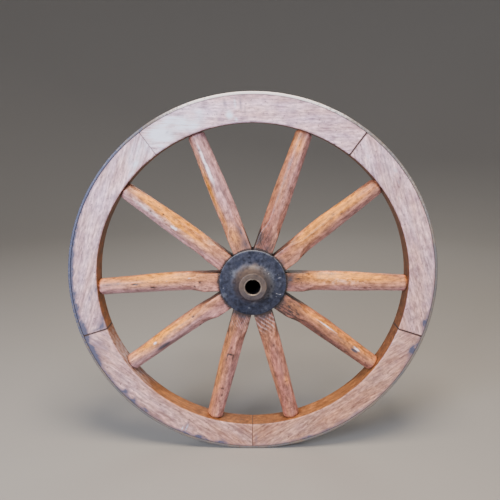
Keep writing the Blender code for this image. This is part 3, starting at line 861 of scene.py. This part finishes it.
# marks on the front faces, by kind: angle round the wheel, radius, half length along the rim, half width,
# strength
felloeMarks = {
    "dark": ((64.5, 296, 6, 3, 0.2), (43, 280, 12, 11, 0.3), (170, 284, 1.3, 1.3, 0.6),
      (246.2, 279, 1.6, 2.6, 0.6), (217.5, 271, 3, 3, 0.45), (209.6, 287, 3, 2, 0.5),
      (319.2, 282.5, 1.4, 1.4, 0.9), (282.6, 289.7, 1, 2.2, 1.3), (315, 260, 2, 1.5, 0.5),
      (309, 259.5, 3, 1.5, 0.5), (273, 259, 9, 1, 0.6)),
    "slate": ((82.5, 287, 3, 9, 0.4), (77.5, 284, 5, 12, 0.35), (14.5, 294, 4, 5, 0.4),
      (12.5, 292, 2, 4, 0.4), (176.3, 287, 5, 1.8, 0.8), (147, 263, 7, 3.5, 0.5), (118.5, 278, 4, 2, 0.45),
      (112, 289, 3, 1.6, 0.45), (107, 272, 5, 8, 0.4), (98.6, 291, 3, 8, 0.8), (93.8, 286, 2.2, 11, 0.85),
      (92.5, 277, 1.8, 8, 0.55), (246, 287, 3.5, 11, 0.65), (259.5, 296, 6, 4.5, 0.85),
      (251.5, 297, 6, 4, 0.75), (225.5, 294, 4, 6, 0.95), (221.5, 292, 6, 6, 0.95), (231, 296, 6, 3, 0.75),
      (206, 296, 14, 5, 0.85), (202, 283, 12, 16, 0.38), (205, 276, 6, 8, 0.35), (196.2, 265, 7, 7, 1.2),
      (197.2, 277, 2.5, 8, 0.85), (196.5, 295, 6, 5, 0.95), (193.5, 260.5, 5, 2.5, 0.85),
      (185.5, 273, 6, 2, 0.85), (183.5, 268, 5, 2, 0.75), (182, 261, 7, 3.5, 0.95),
      (346.8, 296, 6, 4.5, 1.2), (336.8, 295, 10, 5, 1.3), (347.7, 277, 3, 5, 0.45), (337, 272, 4, 8, 0.4),
      (325, 266, 7, 5, 0.45), (330.5, 281, 5, 7, 0.28), (271.3, 285, 3.5, 12, 0.6), (12, 276, 3, 6, 0.3),
      (204, 288, 24, 14, 0.22)),
    "pale": ((49, 274, 5, 5, 0.45), (52, 282, 4, 6, 0.35), (39.5, 291, 6, 4, 0.55), (36, 284, 7, 3, 0.4),
      (31, 272, 8, 3, 0.35), (133.5, 268, 7, 4, 0.65), (137, 263, 8, 3, 0.5), (121.5, 283, 12, 9, 0.9),
      (117, 291, 10, 5, 0.85), (113.5, 280, 9, 8, 0.85), (119, 270, 9, 6, 0.65), (110, 270, 8, 6, 0.75),
      # the strong pale marks near 96 degrees are a painted highlight
      (123, 264, 4, 4, 0.55), (107, 284, 6, 9, 0.4), (97.6, 272, 4.5, 6, 1.2), (95.6, 264, 2.6, 3, 1.1),
      (95.5, 290, 2, 9, 0.65), (246.3, 288, 0.9, 8, 1), (245, 293, 0.8, 5, 0.9), (120, 281, 85, 24, 0.66)),
}

# grime along the outer edge: angle round the wheel, strength, how far in it reaches
felloeGrime = ((0, 0.55, 3), (12, 0.35, 2.5), (30, 0.2, 1.8), (60, 0.1, 1.5), (95, 0, 1), (128, 0.35, 1.4),
    (145, 0.7, 2.4), (160, 1, 3), (172, 1.4, 4.8), (188, 1.4, 5.2), (198, 1.3, 7), (206, 1, 4.6),
    (216, 0.9, 4.4), (226, 0.95, 5), (236, 0.75, 3.6), (246, 0.9, 5), (256, 0.9, 4.6), (268, 0.5, 3.4),
    (278, 0.6, 3.6), (290, 0.9, 4.6), (305, 0.8, 4.4), (320, 0.6, 3.4), (334, 0.7, 3.4), (348, 0.8, 3.6),
    (360, 0.55, 3))


# painted shade on the inner face, by angle round the wheel: dark where it looks down, lit ochre where it faces
# up at the bottom
felloeInnerPaintedShade = ((0, 0.24), (25, 0.2), (60, 0.05), (150, 0.15), (190, 0.55), (220, 0.75), (240, 0.93),
    (262, 0.6), (290, 0.8), (300, 0.88), (320, 0.65), (340, 0.24), (360, 0.24))


def felloeGrain(place, middle):
    # straight grain along the board that the felloe was sawn from
    turned = roundWheel(-middle) @ place
    return Vector((turned.z, turned.x, turned.y))


def paintFelloe(angle, radius, depth):
    # masks for a point at that angle, radius and distance behind the front face
    painted = [0.0, 0.0, 0.0, 0.0]
    turn = degrees(angle) % 360
    if depth < felloe["paintDepth"]:
        for channel, kind in enumerate(markKinds):
            for markAngle, markRadius, halfLong, halfWide, strength in felloeMarks.get(kind, ()):
                across = apart(turn, markAngle)
                if abs(across) < 25:
                    amount = strength * bell(radians(across) * radius, halfLong * mm * markCore)
                    painted[channel] += amount * bell(radius - markRadius * mm, halfWide * mm * markCore)
        amount = betweenStops(felloeGrime, turn)
        reach = betweenStops(felloeGrime, turn, 2) * mm
        reach *= 1 + 0.8 * drift((cos(angle) * radius, 0.0, sin(angle) * radius), 13 * mm, 71)
        painted[1] += amount * (1 - ease(0.2 * reach, 1.7 * reach, felloe["outer"] - radius))
    for joint, dirt in enumerate(felloe["jointDirt"]):
        across = apart(turn, felloe["firstJoint"] + 360 / felloe["count"] * joint)
        painted[0] += dirt * bell(radians(across) * radius, 0.8 * mm)
    inside = 1 - ease(felloe["inner"] + 0.5 * mm, felloe["inner"] + 3.0 * mm, radius)
    painted[3] = inside * ease(0.0, 2.5 * mm, depth)
    greyed = felloe["greyed"]
    amount = painted[3] * bell(apart(turn, greyed["angle"]), greyed["width"])
    painted[1] += greyed["slate"] * amount
    painted[2] += greyed["pale"] * amount
    return painted


def felloeToneAndLight(angle, index):
    # 0 where the rim is painted pale and cool, standing for cool light reflected from the upper left, 1 where
    # it is warm and brown towards the lower right; each felloe's own warmth is added
    low = 0.5 - 0.5 * cos(angle - radians(felloe["reflectionAngle"]))
    return min(max(low * 0.9 + felloe["warmer"][index], 0.0), 1.0)


def makeFelloe(index):
    start = radians(felloe["firstJoint"]) + 2 * pi * index / felloe["count"]
    middle = start + pi / felloe["count"]
    gapAngle = felloe["jointGap"] / 2 / felloe["inner"]
    bm = bmesh.new()
    grainLayer, markLayer, toneAndLightLayer = woodLayers(bm)
    half = felloe["thickness"] / 2
    inner, outer = felloe["inner"], felloe["outer"]
    hoopOutline(bm, half, (inner, felloe["innerArris"], 6), (outer, felloe["outerArris"], 3), felloe["cuts"])
    bmesh.ops.spin(bm, geom=bm.verts[:] + bm.edges[:], cent=(0, 0, 0), axis=(0, -1, 0),
                   angle=2 * pi / felloe["count"] - 2 * gapAngle, steps=felloe["steps"], use_merge=False)
    rims = [edge for face in fillHoles(bm) for edge in face.edges]
    bmesh.ops.bevel(bm, geom=rims, offset=felloe["endChamfer"], segments=2, affect="EDGES", profile=0.5,
                    material=-1)
    bmesh.ops.recalc_face_normals(bm, faces=bm.faces)
    bmesh.ops.transform(bm, matrix=roundWheel(start + gapAngle), verts=bm.verts)
    for vert in bm.verts:
        radius, angle = polar(vert.co)
        fromFront = vert.co.y + half
        towardsInner = 1 - ease(inner, inner + 9 * mm, radius)
        sink = (drift(vert.co, 34 * mm, 3) + 1) * 0.12 * mm + (drift(vert.co, 8 * mm, 5) + 1) * 0.05 * mm
        grow = drift(vert.co, 30 * mm, 7) * 0.3 * mm * towardsInner
        if radius < outer - 1 * mm:
            vert.co.y -= sink * (1 if vert.co.y > 0 else -1) * min(abs(vert.co.y) / half, 1.0) ** 6
            vert.co.x += cos(angle) * grow
            vert.co.z += sin(angle) * grow
        vert[grainLayer] = felloeGrain(vert.co, middle) + Vector((index * 1.3, index * 0.7, index * 0.41))
        vert[markLayer] = paintFelloe(angle % (2 * pi), radius, fromFront)
        vert[toneAndLightLayer] = felloeToneAndLight(angle, index)
        # the inner face gets its painted shade instead
        if radius < inner + 1 * mm:
            vert[toneAndLightLayer] = betweenStops(felloeInnerPaintedShade, degrees(angle) % 360)
    number = index + 1
    finishPiece(bm, f"rimFelloe{number}", "felloeWood", [f"felloe_{number}"])


for index in range(felloe["count"]):
    makeFelloe(index)
print("felloes shaped:", felloe["count"])


# ---- tyre

tyre = {
    "thickness": 4.2 * mm,
    "outerRound": 1.3 * mm,
    "innerRound": 0.3 * mm,
    "cuts": 12,
    "steps": 300,
    # stretches of the tread with their own look: the angle of the middle and the width; the pale on the top
    # and at the right is a painted highlight where the light from above catches the edge
    "stretches": {"litTop": (90, 16), "left": (164, 30), "bottom": (275, 40), "side": (0, 14), "right": (32, 22)},
}


def makeTyre():
    bm = bmesh.new()
    markLayer = addMasks(bm)
    half = (tyreHigh.y - tyreLow.y) / 2
    inner = wheelRadius - tyre["thickness"]
    hoopOutline(bm, half, (inner, tyre["innerRound"], 2), (wheelRadius, tyre["outerRound"], 4), tyre["cuts"])
    turnRound(bm, tyre["steps"])
    for vert in bm.verts:
        radius, angle = polar(vert.co)
        if radius > inner + 0.5 * mm:
            beat = (drift(vert.co, 22 * mm, 11) + 1) * 0.14 * mm + (drift(vert.co, 6 * mm, 13) + 1) * 0.05 * mm
            vert.co.x -= cos(angle) * beat
            vert.co.z -= sin(angle) * beat
        # the pale on the top and at the right is a painted highlight
        litTop, left, bottom, side, right = (bell(apart(degrees(angle), middle), width)
                                          for middle, width in tyre["stretches"].values())
        dark = 0.1 * bottom + 0.34 * left + 0.3 * side
        vert[markLayer] = (dark, 1.1 * left, 1.9 * litTop + 0.3 * right, 0.4 * bottom)
    finishPiece(bm, "tyreBand", "tyreIron", ["tyre"])


makeTyre()
print("tyre rolled")


# ---- hub

hub = {
    "bore": 14.9 * mm,
    "barrel": 22.8 * mm,
    "bossRound": 1.6 * mm,
    "flangeRadius": flangeEdge,
    "flangeBack": 13.05 * mm,
    "flangeFront": 16.55 * mm,
    "rimRound": 1.5 * mm,
    "flareRadius": 38.5 * mm,
    "flareRise": 0.8 * mm,
    "flareSteps": 14,
    "steps": 180,
    "spacing": 2.0 * mm,
    "uneven": 0.12 * mm,
    "brownSide": (120, 62),  # where the boss is rubbed brown: the angle of the middle and the width
    # where the boss's right flank carries a painted highlight: the angle of the middle and the width
    "flankHighlight": (10, 50),
}

# bright nicks in the paint: angle, radius, half length round the wheel, half width
hubNicks = ((22, 41, 0.8, 0.8), (18, 45, 1.8, 0.5), (5, 51, 0.5, 2.2), (352, 49, 1.6, 0.5),
    (338, 50, 0.6, 1.8), (330, 45, 0.9, 0.7), (318, 49, 1, 0.6), (287, 44, 2.2, 0.5), (262, 43, 1.8, 0.5),
    (244, 46, 0.8, 0.7), (236, 49, 1, 0.5), (66, 33, 1.1, 1.1), (50, 31, 1.5, 1.8), (34, 31, 1.3, 2.2),
    (322, 47, 5, 0.5), (336, 44, 0.5, 4), (268, 42, 5, 0.45), (300, 50, 3, 0.4), (12, 45, 0.4, 3.5),
    (134, 36, 0.9, 0.7), (205, 47, 0.8, 0.6), (190, 50, 0.6, 1.2), (160, 48, 0.8, 0.5), (108, 53, 1.2, 0.4),
    (78, 52, 1.4, 0.4))

rearFlange = {"collarRadius": 32.0 * mm, "collarHeight": 7.5 * mm, "edge": 1.0 * mm}
ringNut = {"acrossFlats": 60.0 * mm, "thickness": 10.5 * mm, "chamfer": 1.4 * mm, "gap": 0.3 * mm}
bush = {"bore": 12.7 * mm, "wall": 1.9 * mm, "chamfer": 0.5 * mm, "grease": 1.0 * mm, "greaseBehind": 2.0 * mm}


def turnProfile(corners, steps, spacing):
    # corners are (radius, towards the front, rounding); the closed outline is turned about the axle
    bm = bmesh.new()
    verts = [bm.verts.new((radius, -forward, 0.0)) for radius, forward, _ in corners]
    bm.faces.new(verts)
    for vert, (_, _, rounding) in zip(verts, corners):
        if rounding:
            roundOff(bm, [vert], rounding, 4)
    bmesh.ops.delete(bm, geom=bm.faces[:], context="FACES_ONLY")
    for edge in [edge for edge in bm.edges if edge.calc_length() > spacing * 1.5]:
        bmesh.ops.subdivide_edges(bm, edges=[edge], cuts=max(int(edge.calc_length() / spacing) - 1, 1))
    turnRound(bm, steps)
    return bm


def castUneven(bm, amount, seed, lowRadius):
    # the rough skin of a casting, left off the bore and both ends
    bm.normal_update()
    for vert in bm.verts:
        radius = hypot(vert.co.x, vert.co.z)
        if radius > lowRadius and abs(vert.co.y) < hubHalf - 0.6 * mm:
            shift = drift(vert.co, 9 * mm, seed) * amount + drift(vert.co, 3 * mm, seed + 2) * amount * 0.35
            vert.co -= vert.normal * (shift + amount * 0.7)


def flangeRim(radius):
    # 1 at the flange's rim, 0 a little way in
    return ease(hub["flangeRadius"] - 2.2 * mm, hub["flangeRadius"] - 0.4 * mm, radius)


def makeHub():
    front = hubHalf
    flareTop = front - hub["bossRound"]
    flareFoot = hub["flangeFront"] + hub["flareRise"]
    corners = [(hub["bore"], front, 0), (hub["barrel"], front, hub["bossRound"])]
    for step in range(1, hub["flareSteps"] + 1):
        turn = pi / 2 * step / hub["flareSteps"]
        radius = hub["flareRadius"] - (hub["flareRadius"] - hub["barrel"]) * cos(turn)
        corners.append((radius, flareTop - (flareTop - flareFoot) * sin(turn), 0))
    corners += [(hub["flangeRadius"], hub["flangeFront"], hub["rimRound"]),
                (hub["flangeRadius"], hub["flangeBack"], hub["rimRound"] / 2),
                (hub["barrel"], hub["flangeBack"], 0),
                (hub["barrel"], -front, hub["bossRound"]),
                (hub["bore"], -front, 0)]
    bm = turnProfile(corners, hub["steps"], hub["spacing"])
    castUneven(bm, hub["uneven"], 21, hub["bore"] + 1 * mm)
    markLayer = addMasks(bm)
    for vert in bm.verts:
        radius, angle = polar(vert.co)
        forward = -vert.co.y
        boss = 1 - ease(25 * mm, 37 * mm, radius + drift(vert.co, 9 * mm, 41) * 5 * mm)
        boss *= 0.2 + 0.8 * bell(apart(degrees(angle), hub["brownSide"][0]), hub["brownSide"][1])
        if forward > front - 1.6 * mm:
            boss = 1.0 - 0.45 * ease(0.0, 0.9, -sin(angle))
        # the flange's rim is worn lighter all round and much lighter towards the top: a painted highlight
        # where it catches the light from above
        rimWearAndHighlight = flangeRim(radius) * (0.25 + 0.75 * ease(-0.2, 0.9, sin(angle + 0.3)))
        grey = patches(vert.co, 13 * mm, 43) * 0.9
        grey = max(grey, 0.22 * bell(radius - 46 * mm, 7 * mm) * ease(0.3, 1.0, sin(angle)))
        # a painted highlight on the boss's right flank
        rubbedAndLit = bell(apart(degrees(angle), hub["flankHighlight"][0]), hub["flankHighlight"][1])
        grey = max(grey, rubbedAndLit * bell(radius - 27 * mm, 7 * mm))
        # painted shade: the lower part of the flange is darkened
        low = 0.3 * ease(0.2, 1.0, -sin(angle)) * ease(26 * mm, 40 * mm, radius)
        nicks = 0.0
        for turn, nickRadius, halfLong, halfWide in hubNicks:
            across = radians(apart(degrees(angle), turn)) * radius
            nicks += bell(across, halfLong * mm) * bell(radius - nickRadius * mm, halfWide * mm)
        if forward < 0:
            low, nicks, rimWearAndHighlight, boss = 0.0, 0.0, 0.0, 0.4
        vert[markLayer] = (low, 0.62 * nicks, max(grey, rimWearAndHighlight * 0.9), boss)
    finishPiece(bm, "hubBoss", "hubIron", ["hub_casting"])


def makeRearFlange():
    bore = hub["barrel"] + 0.3 * mm
    back, face = -hub["flangeBack"], -hub["flangeFront"]
    collar = face - rearFlange["collarHeight"]
    corners = [(bore, back, 0), (hub["flangeRadius"], back, hub["rimRound"] / 2),
               (hub["flangeRadius"], face, hub["rimRound"]),
               (rearFlange["collarRadius"], face, rearFlange["edge"]),
               (rearFlange["collarRadius"], collar, rearFlange["edge"]), (bore, collar, 0)]
    bm = turnProfile(corners, hub["steps"], hub["spacing"])
    castUneven(bm, hub["uneven"], 24, bore + 1 * mm)
    markLayer = addMasks(bm)
    for vert in bm.verts:
        radius = hypot(vert.co.x, vert.co.z)
        grey = max(0.9 * patches(vert.co, 13 * mm, 47), 0.5 * flangeRim(radius))
        vert[markLayer] = (0.0, 0.0, grey, 0.3 * patches(vert.co, 18 * mm, 49))
    finishPiece(bm, "rearFlange", "hubIron", ["hub_rear_flange"])


def makeRingNut():
    bore = hub["barrel"] + 0.3 * mm
    near = -hub["flangeFront"] - rearFlange["collarHeight"] - ringNut["gap"]
    far = near - ringNut["thickness"]
    apothem = ringNut["acrossFlats"] / 2
    corner = apothem / cos(pi / 6)
    corners = [(bore, near, 0), (corner, near, 0), (corner, far, 0), (bore, far, 0)]
    bm = turnProfile(corners, 180, 1.2 * mm)
    for vert in bm.verts:  # six flats, with the corners turned off at both ends
        radius, angle = polar(vert.co)
        flat = apothem / cos((angle + pi / 6) % (pi / 3) - pi / 6)
        toFace = min(abs(-vert.co.y - near), abs(-vert.co.y - far))
        limit = min(flat, apothem + 0.4 * mm + toFace * 1.7)
        share = (radius - bore) / (corner - bore)
        target = bore + (limit - bore) * share
        vert.co.x, vert.co.z = cos(angle) * target, sin(angle) * target
    bm.normal_update()
    markLayer = addMasks(bm)
    for vert in bm.verts:
        radius = hypot(vert.co.x, vert.co.z)
        edge = ease(apothem + 1.5 * mm, corner, radius)
        brown = 0.6 * patches(vert.co, 7 * mm, 57)
        vert[markLayer] = (0.0, 0.3 * edge, patches(vert.co, 10 * mm, 53), brown)
    finishPiece(bm, "ringNut", "nutIron", ["hub_ring_nut"], 28.0)


def makeBush():
    bore, slope = bush["bore"], bush["chamfer"]
    outer = bore + bush["wall"]
    end = hubHalf
    corners = [(bore + slope, end, 0), (outer, end, 0), (outer, -end, 0), (bore + slope, -end, 0),
               (bore, -end + slope, 0), (bore, end - slope, 0)]
    bm = turnProfile(corners, 96, 2.0 * mm)
    markLayer = addMasks(bm)
    for vert in bm.verts:  # old grease has caked inside the bore
        radius, angle = polar(vert.co)
        low = -sin(angle)
        inside = 1 - ease(bore + 0.2 * mm, bore + 0.5 * mm, radius)
        fromFront = ease(0.3 * mm, 3 * mm, vert.co.y + end)
        fromBack = ease(0.2 * mm, 1.6 * mm, end - vert.co.y)
        toBack = ease(-0.2 * end, 0.8 * end, vert.co.y)
        thick = bush["grease"] * (0.75 + 0.25 * drift(vert.co, 6 * mm, 63))
        thick += bush["greaseBehind"] * toBack * ease(0.2, 0.8, low)
        caked = inside * fromFront * fromBack
        if caked > 0:
            share = 1 - thick * caked / radius
            vert.co.x, vert.co.z = vert.co.x * share, vert.co.z * share
        # the bore is painted near black from a little way in: grease, and painted shade deep inside the bore
        shown = inside * ease(0.4 * mm, (3.0 if low > 0.3 else 1.2) * mm, vert.co.y + end)
        vert[markLayer] = (1.8 * shown, 0.0, patches(vert.co, 8 * mm, 61), 0.5)
    finishPiece(bm, "bushSleeve", "bushSteel", ["axle_bush"], 30.0)


makeHub()
makeRearFlange()
makeRingNut()
makeBush()
print("hub turned")


# ---- pegs that stay as the frame has them

for name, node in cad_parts.items():
    if name.startswith(("felloe_dowel", "tongue_wedge")):
        for slot in node.material_slots:
            slot.material = finishes["pegWood"]
